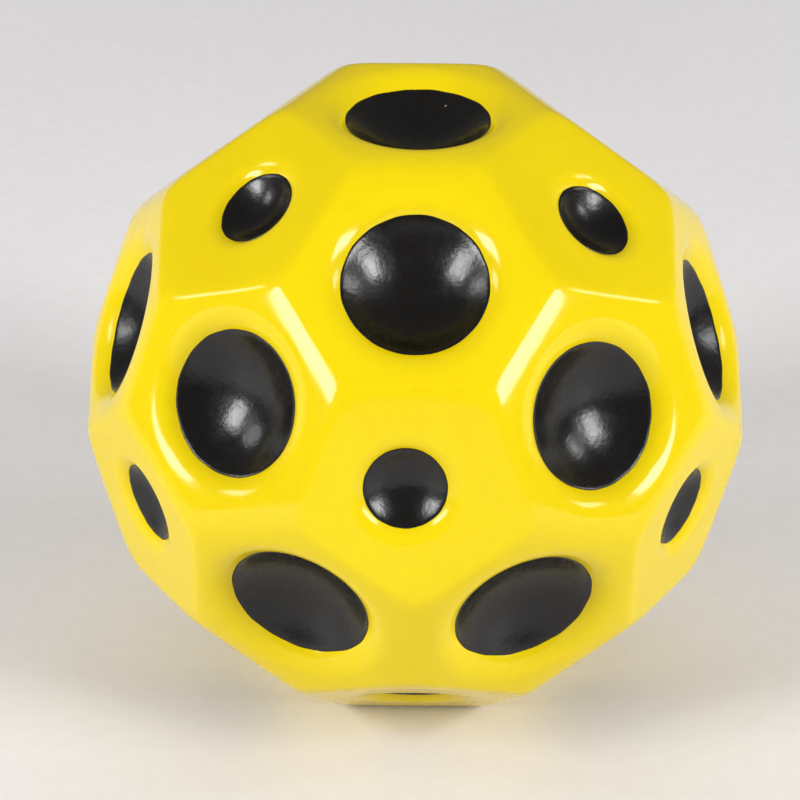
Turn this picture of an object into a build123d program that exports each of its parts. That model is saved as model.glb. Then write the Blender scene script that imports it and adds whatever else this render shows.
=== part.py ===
"""High-bounce throwing ball: a foam core, its yellow skin and a black coat in each of 32 craters.

The outside is a truncated icosahedron with soft ridges. A large crater sits in each of its 20
six-sided facets and a small one in each of its 12 five-sided facets. A crater is a round bowl with a
rounded lip. A thin black coat lies in the bowl and ends where the lip begins.

Frame: millimetres, +Z up. The ball rests on one six-sided facet, so +Z is a three-fold axis, with a
large crater facing straight up and another straight down. The origin is the centre of that resting
facet. The plane X = 0 is a mirror plane, and the next large crater leans towards -Y.
"""
import os
from itertools import product
from math import acos, atan2, degrees, radians, sin, sqrt, tan

from build123d import *

# Driving dimensions, in millimetres
FACET_DISTANCE = 32.0          # ball's centre to each six-sided facet, so the ball stands 64 high
PENT_RISE = 0.35               # how much further out the five-sided facets stand
SIX_RIDGE_RADIUS = 5.0         # rounding of the 30 ridges between two six-sided facets
FIVE_RIDGE_RADIUS = 2.5        # rounding of the 60 ridges around the five-sided facets
SKIN = 0.6                     # dense yellow skin over the foam
COAT = 0.3                     # black coat in the bowls

LARGE_BOWL_RADIUS = 10.0       # hollow of a large bowl, as part of a sphere
LARGE_BOWL_DEPTH = 4.5         # facet down to the middle of that bowl
LARGE_LIP_RADIUS = 3.8         # rounding between that bowl and its facet
SMALL_BOWL_RADIUS = 5.9
SMALL_BOWL_DEPTH = 2.45
SMALL_LIP_RADIUS = 2.4

# Margins
LEAST_LAND = 0.3               # flat band kept between a crater's lip and the ridges
LEAST_ROUND = 0.3              # smallest ridge radius kept on the core, if a lip wants the room
TOUCH = 1e-4                   # distance at which two places count as the same

# Angles of the truncated icosahedron
GOLDEN = (1 + sqrt(5)) / 2
SIX_BEND = acos(sqrt(5) / 3)                    # turn over a ridge between two six-sided facets
FIVE_BEND = acos(sqrt((5 + 2 * sqrt(5)) / 15))  # turn over a ridge around a five-sided facet


def signs(count):
    return product((1, -1), repeat=count)


def facet_axes():
    """Unit vectors from the ball's centre to the 20 six-sided and the 12 five-sided facets.

    They point at the corners of a dodecahedron and of the icosahedron that matches it, turned so
    that one of the 20 points up and a neighbour of it leans towards -Y. Both lists run from the top
    down.
    """
    six = [Vector(*corner) for corner in signs(3)]
    five = []
    for a, b in signs(2):
        six += [Vector(0, b * GOLDEN, a / GOLDEN), Vector(a / GOLDEN, 0, b * GOLDEN)]
        six += [Vector(b * GOLDEN, a / GOLDEN, 0)]
        five += [Vector(0, a, b * GOLDEN), Vector(a, b * GOLDEN, 0), Vector(b * GOLDEN, 0, a)]
    up = Vector(1, 1, 1).normalized()
    leaning = Vector(0, GOLDEN, 1 / GOLDEN)
    back = (up * up.dot(leaning) - leaning).normalized()
    right = back.cross(up)

    def turned(axis):
        return Vector(axis.dot(right), axis.dot(back), axis.dot(up)).normalized()

    def from_the_top(axis):
        return -round(axis.Z, 3), round(degrees(atan2(axis.X, -axis.Y)), 3)

    return sorted(map(turned, six), key=from_the_top), sorted(map(turned, five), key=from_the_top)


def facet_sizes():
    """Distances from the middle of each facet to its ridges: six to six, six to five, five to six.

    The six-sided facets lie on an icosahedron and the five-sided facets cut off its corners. Each
    side of a cut grows in proportion to the cut's depth in the corner's pyramid of five edges.
    """
    edge = FACET_DISTANCE * 12 / (3 * sqrt(3) + sqrt(15))
    corner_distance = FACET_DISTANCE * sqrt(15 - 6 * sqrt(5))
    pyramid_height = sqrt(edge**2 - (edge / 2 / sin(radians(36)))**2)
    side = edge * (corner_distance - FACET_DISTANCE - PENT_RISE) / pyramid_height
    return edge / sqrt(12), edge / sqrt(3) - side * sqrt(3) / 2, side / 2 / tan(radians(36))


def facet_plane(axis, distance):
    """Plane of the facet that the axis points at, with its Z outwards."""
    side = Vector(1, 0, 0) if abs(axis.X) < 0.9 else Vector(0, 1, 0)
    return Plane(origin=axis * distance, x_dir=side.cross(axis), z_dir=axis)


class Crater:
    """One size of crater. Its own frame has its facet at Z = 0 and its axis along +Z.

    The bowl cuts the facet at the mouth. Rounding the mouth by the lip's radius moves its edge out,
    so that lip_edge**2 = mouth**2 + 2 * bowl_depth * lip_radius. The wall between the mouth and the
    nearest ridge limits that radius, so that the ridges of the skin and the core can be rounded too.
    """

    def __init__(self, axes, distance, to_ridge, bowl_radius, bowl_depth, lip_radius):
        self.axes = axes
        self.distance = distance
        self.planes = [facet_plane(axis, distance) for axis in axes]
        self.bowl_radius = bowl_radius
        self.bowl_centre_z = bowl_radius - bowl_depth
        mouth = sqrt(bowl_radius**2 - self.bowl_centre_z**2)
        widest_edge = to_ridge - LEAST_LAND - (SKIN + LEAST_ROUND) * tan(SIX_BEND / 2)
        self.lip_radius = min(lip_radius, (widest_edge**2 - mouth**2) / 2 / bowl_depth)
        self.lip_edge = sqrt(mouth**2 + 2 * bowl_depth * self.lip_radius)
        lip_drop = self.bowl_centre_z + self.lip_radius
        self.rim_z = self.bowl_centre_z - bowl_radius * lip_drop / (bowl_radius + self.lip_radius)

    def hollow(self, change):
        """The whole ball shape of the bowl, with its radius changed by that much."""
        return Pos(0, 0, self.bowl_centre_z) * Sphere(self.bowl_radius + change)

    def coat(self):
        """The black coat: the bowl's surface layer, up to the rim where the lip begins."""
        layer = self.hollow(0) - self.hollow(-COAT)
        return split(layer, Plane((0, 0, self.rim_z)), keep=Keep.BOTTOM)


SIX_AXES, FIVE_AXES = facet_axes()
SIX_TO_SIX, SIX_TO_FIVE, FIVE_TO_SIX = facet_sizes()
LARGE = Crater(
    SIX_AXES,
    FACET_DISTANCE,
    min(SIX_TO_SIX, SIX_TO_FIVE),
    LARGE_BOWL_RADIUS,
    LARGE_BOWL_DEPTH,
    LARGE_LIP_RADIUS,
)
SMALL = Crater(
    FIVE_AXES,
    FACET_DISTANCE + PENT_RISE,
    FIVE_TO_SIX,
    SMALL_BOWL_RADIUS,
    SMALL_BOWL_DEPTH,
    SMALL_LIP_RADIUS,
)


def polyhedron(inset):
    """Truncated icosahedron: a block cut back by the plane of every facet."""
    solid = Box(4 * FACET_DISTANCE, 4 * FACET_DISTANCE, 4 * FACET_DISTANCE)
    for crater in (LARGE, SMALL):
        for axis in crater.axes:
            solid = split(solid, facet_plane(axis, crater.distance - inset), keep=Keep.BOTTOM)
    return solid


def soften_ridges(solid, inset):
    """Round the ridges between six-sided facets, then the ridges around the five-sided ones."""

    def lies_on(edge, crater):
        distance = crater.distance - inset
        return any(abs((edge @ 0.5).dot(axis) - distance) < TOUCH for axis in crater.axes)

    five_middles = [edge @ 0.5 for edge in solid.edges() if lies_on(edge, SMALL)]
    six_ridges = [edge for edge in solid.edges() if not lies_on(edge, SMALL)]
    six_room = (SIX_TO_SIX - LARGE.lip_edge - LEAST_LAND) / tan(SIX_BEND / 2)
    solid = fillet(six_ridges, min(SIX_RIDGE_RADIUS, six_room) - inset)

    def was_five(edge):
        return min((edge @ 0.5 - middle).length for middle in five_middles) < SIX_RIDGE_RADIUS / 4

    five_ridges = [edge for edge in solid.edges().filter_by(GeomType.LINE) if was_five(edge)]
    five_room = min(SIX_TO_FIVE - LARGE.lip_edge, FIVE_TO_SIX - SMALL.lip_edge) - LEAST_LAND
    return fillet(five_ridges, min(FIVE_RIDGE_RADIUS, five_room / tan(FIVE_BEND / 2)) - inset)


def ball(inset=0.0):
    """Solid inside the ball's outside surface, or inside the surface that lies inset below it."""
    solid = soften_ridges(polyhedron(inset), inset)
    for crater in (LARGE, SMALL):
        hollow = crater.hollow(inset)
        solid -= [plane.location * hollow for plane in crater.planes]
    for crater in (LARGE, SMALL):
        mouth_distance = crater.distance - inset
        mouths = [
            edge
            for edge in solid.edges().filter_by(GeomType.CIRCLE)
            if abs(edge.arc_center.length - mouth_distance) < TOUCH
        ]
        solid = fillet(mouths, crater.lip_radius - inset)
    return solid


def parts():
    """Every piece of the ball by name, about the ball's centre."""
    core = ball(SKIN)
    pieces = {"foam_core": core, "yellow_skin": ball() - core}
    for size, crater in (("large", LARGE), ("small", SMALL)):
        coat = crater.coat()
        for number, plane in enumerate(crater.planes, start=1):
            pieces[f"{size}_bowl_coat_{number:02d}"] = plane.location * coat
    return pieces


def main():
    os.makedirs("parts", exist_ok=True)
    stand = Pos(0, 0, FACET_DISTANCE)
    for name, piece in parts().items():
        export_step(stand * piece, f"parts/{name}.step")
        print(f"{name}: {piece.volume:.1f} cubic mm")


main()
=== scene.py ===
"""Foam throwing ball: a glossy yellow skin over foam, with a black coat in each of its 32 craters."""
import math
from itertools import product

import bmesh
import bpy
import numpy as np
from mathutils import Matrix, Vector


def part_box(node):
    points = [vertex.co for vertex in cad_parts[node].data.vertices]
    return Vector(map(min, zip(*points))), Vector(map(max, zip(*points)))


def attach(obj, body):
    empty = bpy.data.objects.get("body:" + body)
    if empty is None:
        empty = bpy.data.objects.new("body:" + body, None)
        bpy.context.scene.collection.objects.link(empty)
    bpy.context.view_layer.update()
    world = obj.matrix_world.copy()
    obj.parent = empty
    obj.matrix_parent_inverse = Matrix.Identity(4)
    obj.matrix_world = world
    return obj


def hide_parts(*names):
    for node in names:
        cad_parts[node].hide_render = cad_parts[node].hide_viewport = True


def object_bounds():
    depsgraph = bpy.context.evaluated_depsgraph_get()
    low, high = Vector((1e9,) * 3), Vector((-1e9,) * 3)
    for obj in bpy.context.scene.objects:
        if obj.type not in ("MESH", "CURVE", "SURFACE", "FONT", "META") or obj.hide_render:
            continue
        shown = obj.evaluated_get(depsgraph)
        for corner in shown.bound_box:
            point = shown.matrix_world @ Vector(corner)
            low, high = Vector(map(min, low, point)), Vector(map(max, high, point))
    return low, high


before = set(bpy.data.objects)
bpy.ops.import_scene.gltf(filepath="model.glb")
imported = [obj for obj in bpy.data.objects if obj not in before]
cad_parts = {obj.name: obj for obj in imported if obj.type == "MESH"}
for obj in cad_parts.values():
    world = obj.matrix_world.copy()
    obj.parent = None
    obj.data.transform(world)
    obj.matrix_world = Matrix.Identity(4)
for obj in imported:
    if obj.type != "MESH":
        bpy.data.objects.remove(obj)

CAD_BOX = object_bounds()

# ---- Sizes, in metres ----

MM = 0.001
FACET = CAD_BOX[1].z / 2                     # ball's centre to each six-sided facet
CENTRE = np.array([0.0, 0.0, FACET])
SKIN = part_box("foam_core")[0].z              # yellow skin over the foam
FIVE_RISE = 0.35 * MM                        # five-sided facets stand this much further out
COAT = 0.3 * MM                              # black coat in the middle of a bowl
COAT_WOBBLE = 0.006                          # unevenness of the coat's edge, as a share of its radius
SIX_SHARPNESS = 52.0                         # ridges between six-sided facets: higher is tighter
FIVE_SHARPNESS = 150.0                       # ridges around the five-sided facets
ROUNDNESS = 0.80                             # share of a bowl's rise that goes by the radius squared
MERGE = 0.002 * MM                           # points this close are the same point

NEIGHBOURLY = math.cos(math.radians(50))     # facets share a ridge if their axes are nearer than this
ITSELF = 0.999                               # a facet's axis with itself, less room for rounding
CROWDING = 1.6                               # crowds the rings of a facet's flat towards its ridges
THINNING = 8                                 # the higher, the nearer its edge a coat stays thick
WOBBLES = (3, 7, 16)                         # waves round the edge of a coat
ASKEW = np.array([0.31, 0.52, 0.79])         # a direction along which no facet's axis points

# How far some craters sit off the middle of their facets, in millimetres to the right and up. The
# numbers count from the top down, as in the CAD.
SLIPS = {
    "large": {3: (-0.2, -0.3), 6: (0.5, -1.0), 7: (-0.3, 0.3), 8: (-0.6, -0.7), 9: (0.0, -1.2),
              13: (-0.5, 0.2)},
    "small": {2: (0.4, 0.6), 3: (0.8, -0.8), 5: (-1.0, -0.2), 8: (0.3, 1.1), 9: (-0.2, 1.1)},
}

GOLDEN = (1 + math.sqrt(5)) / 2
rng = np.random.default_rng(32)


# ---- Directions of the facets ----

def signs(count):
    """Every way to give count numbers a plus or a minus."""
    return product((1, -1), repeat=count)


def facet_axes():
    """Unit vectors to the 20 six-sided and the 12 five-sided facets, from the top down.

    They point at the corners of a dodecahedron and of the icosahedron that matches it, turned so
    that one of the 20 points up and a neighbour of it leans towards -Y.
    """
    six = list(signs(3))
    five = []
    for a, b in signs(2):
        six += [(0, b * GOLDEN, a / GOLDEN), (a / GOLDEN, 0, b * GOLDEN), (b * GOLDEN, a / GOLDEN, 0)]
        five += [(0, a, b * GOLDEN), (a, b * GOLDEN, 0), (b * GOLDEN, 0, a)]
    up = np.ones(3) / math.sqrt(3)
    leaning = np.array([0, GOLDEN, 1 / GOLDEN])
    back = up * (up @ leaning) - leaning
    back /= np.linalg.norm(back)
    turn = np.array([np.cross(back, up), back, up])

    def sorted_from_the_top(corners):
        axes = np.array(corners, float) @ turn.T
        axes /= np.linalg.norm(axes, axis=1, keepdims=True)
        azimuth = np.round(np.degrees(np.arctan2(axes[:, 0], -axes[:, 1])), 3)
        return axes[np.lexsort((azimuth, -np.round(axes[:, 2], 3)))]

    return sorted_from_the_top(six), sorted_from_the_top(five)


SIX_AXES, FIVE_AXES = facet_axes()


# ---- The ball's outside, without craters ----

def on_the_outside(points, inset=0.0):
    """The points moved along their rays from the ball's centre onto its outside, or inset below it.

    The distance along each six-sided facet's axis, over that facet's own distance, is raised to a
    high power, added up over the facets and rooted, so that neighbouring planes blend over a soft
    ridge. The five-sided facets join that sum with a higher power, for tighter ridges. Where the
    result is 1 lies the outside.
    """
    six = np.clip(points @ SIX_AXES.T / (FACET - inset), 0, None) ** SIX_SHARPNESS
    five = np.clip(points @ FIVE_AXES.T / (FACET + FIVE_RISE - inset), 0, None) ** FIVE_SHARPNESS
    level = six.sum(-1) ** (FIVE_SHARPNESS / SIX_SHARPNESS) + five.sum(-1)
    return points / (level ** (1 / FIVE_SHARPNESS))[..., None]


def facet_corners(axis, distance, inset):
    """Corners of the facet's flat polygon, in order round its axis: each lies on three planes."""
    axes = np.vstack([SIX_AXES, FIVE_AXES])
    distances = np.repeat([FACET - inset, FACET + FIVE_RISE - inset], [len(SIX_AXES), len(FIVE_AXES)])
    near = (axes @ axis > NEIGHBOURLY) & (axes @ axis < ITSELF)
    axes, distances = axes[near], distances[near]
    side = np.cross(axis, axes[0])
    side /= np.linalg.norm(side)
    order = np.argsort(np.arctan2(axes @ np.cross(axis, side), axes @ side))
    axes, distances = axes[order], distances[order]
    planes = np.stack([np.broadcast_to(axis, axes.shape), axes, np.roll(axes, -1, axis=0)], axis=1)
    offsets = np.stack([np.full(len(axes), distance - inset), distances, np.roll(distances, -1)], axis=1)
    return np.linalg.solve(planes, offsets[..., None])[..., 0]


def around(corners, side_steps):
    """Points along the polygon's sides, side_steps to a side."""
    steps = (np.arange(side_steps) / side_steps)[None, :, None]
    sides = corners[:, None] + steps * (np.roll(corners, -1, axis=0) - corners)[:, None]
    return sides.reshape(-1, 3)


# ---- Craters ----

class Crater:
    """One kind of crater, as radii about its axis and drops below its facet.

    From the facet, a round lip bends down through its whole tilt to the rim. There it meets the
    bowl with no corner, and the bowl levels out to its bottom. The rim, the bottom and the tilt are
    those of the CAD coat, whose bowl is part of a sphere.
    """

    def __init__(self, kind, axes, distance):
        self.kind, self.axes, self.distance = kind, axes, distance
        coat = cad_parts[f"{kind}_bowl_coat_01"].data
        coords = np.array([vertex.co[:] for vertex in coat.vertices]) - CENTRE
        along = coords @ axes[0]
        self.rim_radius = np.linalg.norm(coords - along[:, None] * axes[0], axis=1).max()
        self.rim_drop = distance - along.max()
        self.bowl_depth = along.max() - along.min()
        sphere = (self.rim_radius ** 2 + self.bowl_depth ** 2) / 2 / self.bowl_depth
        self.tilt = math.asin(self.rim_radius / sphere)
        self.lip = self.rim_drop / (1 - math.cos(self.tilt))
        self.lip_edge = self.rim_radius + self.lip * math.sin(self.tilt)
        steepness = math.tan(self.tilt) * self.rim_radius / self.bowl_depth
        self.power = (steepness - 2 * ROUNDNESS) / (1 - ROUNDNESS)

    def middle(self, number):
        """The middle of that crater's mouth: its facet's own middle, slipped within the facet."""
        axis = self.axes[number - 1]
        right, up = SLIPS[self.kind].get(number, (0, 0))
        slip = np.array([right, 0, up]) * MM
        return axis * self.distance + slip - axis * (slip @ axis)

    def surface(self, radius):
        """(drop, tilt) at each radius.

        On the lip, both follow a circle. In the bowl, with q the radius over the rim's, the rise
        from the bottom is bowl_depth times the sum of two terms: ROUNDNESS times q squared, and the
        rest times q to a higher power. That power makes the slope at the rim the lip's.
        """
        bend = np.arcsin(np.clip((self.lip_edge - radius) / self.lip, 0, math.sin(self.tilt)))
        lip_drop = self.lip * (1 - np.cos(bend))
        q = np.clip(radius / self.rim_radius, 0, 1)
        rest = 1 - ROUNDNESS
        rise = self.bowl_depth * (ROUNDNESS * q ** 2 + rest * q ** self.power)
        slope = self.bowl_depth / self.rim_radius * (
            2 * ROUNDNESS * q + rest * self.power * q ** (self.power - 1))
        in_bowl = radius < self.rim_radius
        drop = np.where(in_bowl, self.rim_drop + self.bowl_depth - rise, lip_drop)
        return drop, np.where(in_bowl, np.arctan(slope), bend)

    def radii(self, lip_steps, bowl_steps):
        """Radii from just inside the lip's edge to the pole, closer together where the lip bends."""
        bend = np.linspace(0, self.tilt, lip_steps + 1)[1:]
        bowl = np.linspace(self.rim_radius, 0, bowl_steps + 1)[1:]
        return np.concatenate([self.lip_edge - self.lip * np.sin(bend), bowl])


LARGE = Crater("large", SIX_AXES, FACET)
SMALL = Crater("small", FIVE_AXES, FACET + FIVE_RISE)


def facet_grid(crater, number, inset, side_steps, flat_steps, lip_steps, bowl_steps):
    """Rings of points from a facet's ridges in to the pole of its bowl, as an array (ring, point, 3).

    The outer rings blend from the polygon to the lip's circle, closer together near the ridges. The
    inner rings lie on the crater's surface, moved into the wall by inset along its normal. Each
    point is moved onto the ball's outside first and then sunk along the axis by its drop.
    """
    axis = crater.axes[number - 1]
    outline = around(facet_corners(axis, crater.distance, inset), side_steps)
    foot = crater.middle(number) - axis * inset
    spokes = outline - foot
    reach = np.linalg.norm(spokes, axis=1, keepdims=True)
    spokes /= reach
    blend = np.linspace(0, 1, flat_steps + 1)[:, None, None] ** CROWDING
    flat = foot + spokes * (reach + (crater.lip_edge - reach) * blend)
    radius = crater.radii(lip_steps, bowl_steps)
    drop, tilt = crater.surface(radius)
    moved = (radius + inset * np.sin(tilt))[:, None, None]
    moved[-1] = 0
    sunk = (drop - inset * (1 - np.cos(tilt)))[:, None, None]
    inner = on_the_outside(foot + spokes * moved, inset) - axis * sunk
    return np.concatenate([on_the_outside(flat, inset), inner])


def coat_grid(crater, number, points=72, steps=12):
    """Rings of points over a bowl's back and then its front: a film that thins out at its edge.

    The back lies on the bowl and the front lies one thickness off it along the normal. With q the
    radius over the film's own, the thickness is COAT times the square root of 1 minus q to the
    power of THINNING. The film's radius is the rim's, made uneven by three low waves round it.
    """
    axis = crater.axes[number - 1]
    side = np.cross(axis, ASKEW)
    side /= np.linalg.norm(side)
    turn = np.linspace(0, 2 * math.pi, points, endpoint=False)
    spokes = np.cos(turn)[:, None] * side + np.sin(turn)[:, None] * np.cross(axis, side)
    starts = rng.uniform(0, 2 * math.pi, len(WOBBLES))
    wobble = sum(np.sin(count * turn + start) for count, start in zip(WOBBLES, starts)) / len(WOBBLES)
    q = np.sin(np.linspace(0, math.pi / 2, steps + 1))[:, None]
    radius = q * crater.rim_radius * (1 + COAT_WOBBLE * wobble)
    drop, tilt = crater.surface(radius)
    thickness = COAT * np.sqrt(np.clip(1 - q ** THINNING, 0, None))
    front_radius = radius - thickness * np.sin(tilt)
    front_drop = drop - thickness * np.cos(tilt)

    def placed(radius, drop):
        return crater.middle(number) - axis * drop[..., None] + spokes * radius[..., None]

    return np.concatenate([placed(radius, drop)[:-1], placed(front_radius, front_drop)[::-1]])


# ---- Meshes ----

def grid_faces(rings, count, start=0):
    """Quads between neighbouring rings of a closed grid, facing outwards when the rings shrink."""
    ring, step = np.meshgrid(np.arange(rings - 1), np.arange(count), indexing="ij")
    a = start + ring * count + step
    b = start + ring * count + (step + 1) % count
    return np.stack([a, b, b + count, a + count], axis=-1).reshape(-1, 4)


def ball_mesh(inset, **steps):
    """(points, faces) of the whole ball's surface at that inset: one grid for each facet."""
    points, faces, start = [], [], 0
    for crater in (LARGE, SMALL):
        for number in range(1, len(crater.axes) + 1):
            grid = facet_grid(crater, number, inset, **steps)
            points.append(grid.reshape(-1, 3))
            faces.append(grid_faces(*grid.shape[:2], start))
            start += grid.shape[0] * grid.shape[1]
    return np.concatenate(points), np.concatenate(faces)


def new_piece(name, points, faces, material, slot, replaced):
    """A smooth-shaded piece from points about the ball's centre, with shared points joined."""
    mesh = bpy.data.meshes.new(name)
    mesh.from_pydata((points + CENTRE).tolist(), [], faces.tolist())
    work = bmesh.new()
    work.from_mesh(mesh)
    bmesh.ops.remove_doubles(work, verts=work.verts, dist=MERGE)
    bmesh.ops.dissolve_degenerate(work, edges=work.edges, dist=MERGE)
    work.to_mesh(mesh)
    work.free()
    mesh.polygons.foreach_set("use_smooth", np.ones(len(mesh.polygons), bool))
    mesh.materials.append(material)
    piece = bpy.data.objects.new(name, mesh)
    bpy.context.scene.collection.objects.link(piece)
    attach(piece, "root")
    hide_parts(replaced)
    return piece


def make_core(surface, material):
    core = new_piece("moulded_foam_core", *surface, material, "foam", "foam_core")


def make_skin(core_surface, material):
    """The yellow skin: the outside, and the core's surface turned round as its inner wall."""
    outer, outer_faces = ball_mesh(0.0, side_steps=16, flat_steps=9, lip_steps=9, bowl_steps=8)
    inner, inner_faces = core_surface
    new_piece("ball_skin", np.concatenate([outer, inner]),
              np.concatenate([outer_faces, inner_faces[:, ::-1] + len(outer)]),
              material, "yellow_skin", "yellow_skin")


def make_coats(material):
    """A thin closed film of black in each crater's bowl."""
    for crater in (LARGE, SMALL):
        for number in range(1, len(crater.axes) + 1):
            grid = coat_grid(crater, number)
            new_piece(f"{crater.kind}_crater_paint_{number:02d}", grid.reshape(-1, 3),
                      grid_faces(*grid.shape[:2]), material, "black_coat",
                      f"{crater.kind}_bowl_coat_{number:02d}")


# ---- Materials ----

FLOAT, COLOUR, VECTOR = "NodeSocketFloat", "NodeSocketColor", "NodeSocketVector"


class Nodes:
    """Short names for adding and linking the nodes of one tree."""

    def __init__(self, tree):
        self.tree = tree

    def add(self, kind, inputs=None, **settings):
        node = self.tree.nodes.new(kind)
        for name, value in settings.items():
            setattr(node, name, value)
        for name, value in (inputs or {}).items():
            self.feed(node.inputs[name], value)
        return node

    def feed(self, socket, value):
        if isinstance(value, bpy.types.NodeSocket):
            self.tree.links.new(value, socket)
        else:
            socket.default_value = value

    def math(self, operation, first, second, clamp=False):
        node = self.add("ShaderNodeMath", {0: first, 1: second}, operation=operation, use_clamp=clamp)
        return node.outputs[0]

    def noise(self, vector, scale, detail, roughness=0.5):
        inputs = {"Vector": vector, "Scale": scale, "Detail": detail, "Roughness": roughness}
        return self.add("ShaderNodeTexNoise", inputs).outputs["Fac"]

    def spread(self, value, low, high, to_low=0.0, to_high=1.0):
        """The value with low to high stretched to to_low to to_high, and held to that range."""
        inputs = {"Value": value, "From Min": low, "From Max": high,
                  "To Min": to_low, "To Max": to_high}
        return self.add("ShaderNodeMapRange", inputs).outputs["Result"]

    def mix(self, share, first, second):
        """The share of the second colour in the first, on the mix node's own colour sockets."""
        node = self.add("ShaderNodeMix", data_type="RGBA")
        for number, value in {0: share, 6: first, 7: second}.items():
            self.feed(node.inputs[number], value)
        return node.outputs[2]

    def group(self, tree, **inputs):
        node = self.add("ShaderNodeGroup", node_tree=tree)
        for name, value in inputs.items():
            self.feed(node.inputs[name], value)
        return node.outputs[0]


def new_group(name, inputs, output, output_kind):
    """An empty shader node group: (its nodes, what it is given, the socket that ends it)."""
    tree = bpy.data.node_groups.new(name, "ShaderNodeTree")
    for socket, (kind, value) in inputs.items():
        made = tree.interface.new_socket(name=socket, in_out="INPUT", socket_type=kind)
        if value is not None:
            made.default_value = value
    tree.interface.new_socket(name=output, in_out="OUTPUT", socket_type=output_kind)
    nodes = Nodes(tree)
    given = nodes.add("NodeGroupInput").outputs
    ends = nodes.add("NodeGroupOutput").inputs[output]
    return nodes, given, ends


def uneven_tint():
    """A colour that drifts to a second one in soft clouds, with a finer mottle inside them."""
    nodes, given, ends = new_group("uneven_tint", {
        "Place": (VECTOR, None), "Colour": (COLOUR, None), "Second": (COLOUR, None),
        "Cloud": (FLOAT, 60.0), "Mottle": (FLOAT, 900.0), "Amount": (FLOAT, 0.5)}, "Tint", COLOUR)
    clouds = nodes.noise(given["Place"], given["Cloud"], detail=3.0)
    mottling = nodes.noise(given["Place"], given["Mottle"], detail=2.0)
    cloud = nodes.spread(clouds, low=0.35, high=0.7)
    mottle = nodes.spread(mottling, low=0.3, high=0.7, to_high=0.5)
    share = nodes.math("MULTIPLY", nodes.math("ADD", cloud, mottle), given["Amount"], clamp=True)
    nodes.feed(ends, nodes.mix(share, given["Colour"], given["Second"]))
    return nodes.tree


def moulded_relief():
    """Height of a moulded or sprayed surface: fine orange peel over slow waves, in metres."""
    nodes, given, ends = new_group("moulded_relief", {
        "Place": (VECTOR, None), "Peel": (FLOAT, 1400.0), "Peel Height": (FLOAT, 0.000004),
        "Wave": (FLOAT, 90.0), "Wave Height": (FLOAT, 0.00003)}, "Height", FLOAT)
    peel = nodes.noise(given["Place"], given["Peel"], detail=1.5)
    wave = nodes.noise(given["Place"], given["Wave"], detail=1.0)
    peel = nodes.math("MULTIPLY", peel, given["Peel Height"])
    wave = nodes.math("MULTIPLY", wave, given["Wave Height"])
    nodes.feed(ends, nodes.math("ADD", peel, wave))
    return nodes.tree


def loose_specks():
    """Mask of small scattered specks, such as dust: a few of the cells of a fine cell pattern.

    A speck is the middle of a cell, out to Size, and only cells whose own random value is above
    1 - Share have one. A noise drops them where it is low, so that they gather in patches.
    """
    nodes, given, ends = new_group("loose_specks", {
        "Place": (VECTOR, None), "Cells": (FLOAT, 700.0), "Size": (FLOAT, 0.12), "Share": (FLOAT, 0.1)},
        "Mask", FLOAT)
    cells = nodes.add("ShaderNodeTexVoronoi", {"Vector": given["Place"], "Scale": given["Cells"]})
    chance = nodes.add("ShaderNodeSeparateColor", {"Color": cells.outputs["Color"]}).outputs[0]
    chosen = nodes.math("GREATER_THAN", chance, nodes.math("SUBTRACT", 1.0, given["Share"]))
    inside = nodes.math("LESS_THAN", cells.outputs["Distance"], given["Size"])
    patches = nodes.spread(nodes.noise(given["Place"], 130.0, detail=2.0), low=0.42, high=0.6)
    nodes.feed(ends, nodes.math("MULTIPLY", nodes.math("MULTIPLY", chosen, inside), patches))
    return nodes.tree


TINT, RELIEF, SPECKS = uneven_tint(), moulded_relief(), loose_specks()


def new_material(name, **shader_values):
    """(material, its nodes, its Principled shader, Object coordinates), constants on the shader."""
    material = bpy.data.materials.new(name)
    material.use_nodes = True
    nodes = Nodes(material.node_tree)
    shader = material.node_tree.nodes["Principled BSDF"]
    for socket, value in shader_values.items():
        shader.inputs[socket.replace("_", " ")].default_value = value
    place = nodes.add("ShaderNodeTexCoord").outputs["Object"]
    return material, nodes, shader, place


def bump(nodes, shader, height):
    """Feeds a height in metres to the shader's normal."""
    made = nodes.add("ShaderNodeBump", {"Strength": 1.0, "Distance": 1.0, "Height": height})
    nodes.feed(shader.inputs["Normal"], made.outputs["Normal"])


def relief(nodes, place, peel, peel_height, wave, wave_height):
    """The moulded relief's height: scales per metre, heights in metres."""
    return nodes.group(RELIEF, **{"Place": place, "Peel": peel, "Peel Height": peel_height,
                                  "Wave": wave, "Wave Height": wave_height})


def dusted(nodes, shader, dust, tint, dust_colour, cover, smear, dullness):
    """Feeds the tint with dust over it, and the smears with the dust's dullness, to the shader."""
    covered = nodes.math("MULTIPLY", dust, cover)
    nodes.feed(shader.inputs["Base Color"], nodes.mix(covered, tint, dust_colour))
    duller = nodes.math("MULTIPLY", dust, dullness)
    nodes.feed(shader.inputs["Roughness"], nodes.math("ADD", smear, duller))


def yellow_skin_material():
    """Self-skinned foam: a deep lemon yellow under a gloss that waves and dulls a little."""
    material, nodes, shader, place = new_material("glossy_yellow_skin", IOR=1.36)
    tint = nodes.group(TINT, Place=place, Colour=(0.78, 0.60, 0.0025, 1),
                       Second=(0.735, 0.55, 0.002, 1), Cloud=70.0, Mottle=800.0, Amount=0.55)
    dust = nodes.group(SPECKS, Place=place, Cells=420.0, Size=0.07, Share=0.05)
    smears = nodes.noise(place, 160.0, detail=3.0, roughness=0.6)
    smear = nodes.spread(smears, low=0.3, high=0.7, to_low=0.10, to_high=0.18)
    dusted(nodes, shader, dust, tint, dust_colour=(0.50, 0.36, 0.06, 1), cover=0.55,
           smear=smear, dullness=0.3)
    bump(nodes, shader, relief(nodes, place, peel=1500.0, peel_height=0.0000018,
                               wave=110.0, wave_height=0.00003))
    return material


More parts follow.
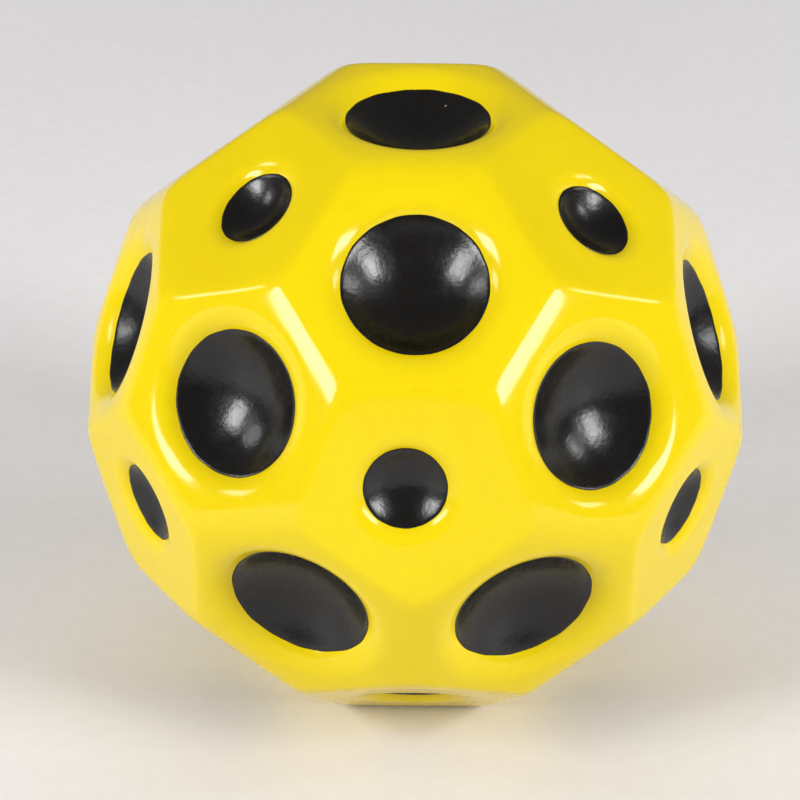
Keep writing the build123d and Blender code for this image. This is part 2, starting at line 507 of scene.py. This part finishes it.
def black_coat_material():
    """Sprayed black lacquer: a satin gloss with a pebbled film and pale dust caught in it."""
    material, nodes, shader, place = new_material("satin_black_crater_paint", IOR=1.47)
    tint = nodes.group(TINT, Place=place, Colour=(0.0028, 0.0025, 0.0021, 1),
                       Second=(0.0065, 0.0054, 0.0046, 1), Cloud=110.0, Mottle=1300.0, Amount=0.6)
    dust = nodes.group(SPECKS, Place=place, Cells=700.0, Size=0.09, Share=0.05)
    smears = nodes.noise(place, 420.0, detail=3.0, roughness=0.6)
    smear = nodes.spread(smears, low=0.3, high=0.7, to_low=0.20, to_high=0.31)
    dusted(nodes, shader, dust, tint, dust_colour=(0.42, 0.36, 0.33, 1), cover=0.5,
           smear=smear, dullness=0.4)
    bump(nodes, shader, relief(nodes, place, peel=2100.0, peel_height=0.000022,
                               wave=420.0, wave_height=0.00004))
    return material


def foam_material():
    """Polyurethane foam inside the skin: matt pale yellow, with round cells half a millimetre across,
    each darkened in its hollow by painted shade.
    """
    material, nodes, shader, place = new_material("pale_yellow_foam", IOR=1.4, Roughness=0.9)
    tint = nodes.group(TINT, Place=place, Colour=(0.80, 0.66, 0.20, 1),
                       Second=(0.66, 0.50, 0.11, 1), Cloud=90.0, Mottle=1100.0, Amount=0.6)
    cells = nodes.add("ShaderNodeTexVoronoi", {"Vector": place, "Scale": 1900.0}).outputs["Distance"]
    away = nodes.spread(cells, low=0.0, high=0.5)
    # Painted shade: the colour darkens towards each cell's middle, where the bump sinks it into a
    # hollow.
    painted_hollow_shade, cell_height = (0.40, 0.28, 0.05, 1), 0.00025
    nodes.feed(shader.inputs["Base Color"], nodes.mix(away, painted_hollow_shade, tint))
    bump(nodes, shader, nodes.math("MULTIPLY", cells, cell_height))
    return material


def floor_material():
    """Pale table paper: nearly white, with faint clouds and a soft tooth."""
    material, nodes, shader, place = new_material("pale_paper_floor", IOR=1.45, Roughness=0.62)
    tint = nodes.group(TINT, Place=place, Colour=(0.83, 0.81, 0.82, 1),
                       Second=(0.76, 0.735, 0.735, 1), Cloud=9.0, Mottle=500.0, Amount=0.6)
    nodes.feed(shader.inputs["Base Color"], tint)
    bump(nodes, shader, relief(nodes, place, peel=900.0, peel_height=0.00001,
                               wave=12.0, wave_height=0.0001))
    return material


core_surface = ball_mesh(SKIN, side_steps=6, flat_steps=3, lip_steps=4, bowl_steps=4)
make_core(core_surface, foam_material())
make_skin(core_surface, yellow_skin_material())
make_coats(black_coat_material())


# ---- Stage: floor, lights and camera ----

FLOOR_HALF = 3.0
ELEVATION = math.radians(28.8)               # camera's height angle over the horizon
ROLL = math.radians(0.5)
CAMERA_DISTANCE = 0.514
LENS, SENSOR = 222.4, 36.0                   # millimetres
AIM_LEFT, AIM_BELOW = 0.0016, 0.0013         # camera's aim, off the ball's centre
WORLD_STRENGTH = 0.17

# The camera's own axes
RIGHT = Vector((1, 0, 0))
UP = Vector((0, math.sin(ELEVATION), math.cos(ELEVATION)))
TOWARDS = Vector((0, -math.cos(ELEVATION), math.sin(ELEVATION)))


def make_floor():
    half = FLOOR_HALF
    mesh = bpy.data.meshes.new("floor")
    mesh.from_pydata([(-half, -half, 0), (half, -half, 0), (half, half, 0), (-half, half, 0)], [],
                     [(0, 1, 2, 3)])
    floor = bpy.data.objects.new("floor", mesh)
    bpy.context.scene.collection.objects.link(floor)
    mesh.materials.append(floor_material())


def make_light(name, direction, distance, size, watts):
    """A soft rectangle of light, in that direction by the camera's right, up and towards axes."""
    data = bpy.data.lights.new(name, "AREA")
    data.shape, data.size, data.size_y, data.energy = "RECTANGLE", *size, watts
    light = bpy.data.objects.new(name, data)
    bpy.context.scene.collection.objects.link(light)
    offset = (RIGHT * direction[0] + UP * direction[1] + TOWARDS * direction[2]).normalized()
    light.location = Vector(CENTRE) + offset * distance
    light.rotation_mode = "QUATERNION"
    light.rotation_quaternion = offset.to_track_quat("Z", "Y")
    return light


def make_lights():
    """Two lights in front, two at the sides, and a wide one above that gives no reflections."""
    for side, across in (("left", -0.76), ("right", 0.76)):
        make_light(f"{side}_light", (across, 0.12, 0.64), 0.6, size=(0.175, 0.27), watts=2.75)
    for side, across in (("left", -0.90), ("right", 0.90)):
        make_light(f"{side}_side_light", (across, 0.38, 0.20), 0.6, size=(0.12, 0.15), watts=0.5)
    top = make_light("top_light", (0.0, 0.98, -0.2), 1.2, size=(1.5, 1.0), watts=3.9)
    top.visible_glossy = False


def make_world():
    """An even pale glow from all round."""
    world = bpy.data.worlds.new("studio")
    bpy.context.scene.world = world
    world.use_nodes = True
    background = world.node_tree.nodes["Background"]
    background.inputs["Color"].default_value = (1, 1, 1, 1)
    background.inputs["Strength"].default_value = WORLD_STRENGTH


def make_camera():
    data = bpy.data.cameras.new("camera")
    data.sensor_width, data.lens = SENSOR, LENS
    data.clip_start, data.clip_end = 0.01, 20
    camera = bpy.data.objects.new("camera", data)
    bpy.context.scene.collection.objects.link(camera)
    aim = Vector(CENTRE) - RIGHT * AIM_LEFT - UP * AIM_BELOW
    camera.location = aim + TOWARDS * CAMERA_DISTANCE
    camera.rotation_mode = "QUATERNION"
    roll = Matrix.Rotation(ROLL, 3, "Z").to_quaternion()
    camera.rotation_quaternion = TOWARDS.to_track_quat("Z", "Y") @ roll
    bpy.context.scene.camera = camera


make_floor()
make_lights()
make_world()
make_camera()
bpy.context.scene.view_settings.view_transform = "Standard"
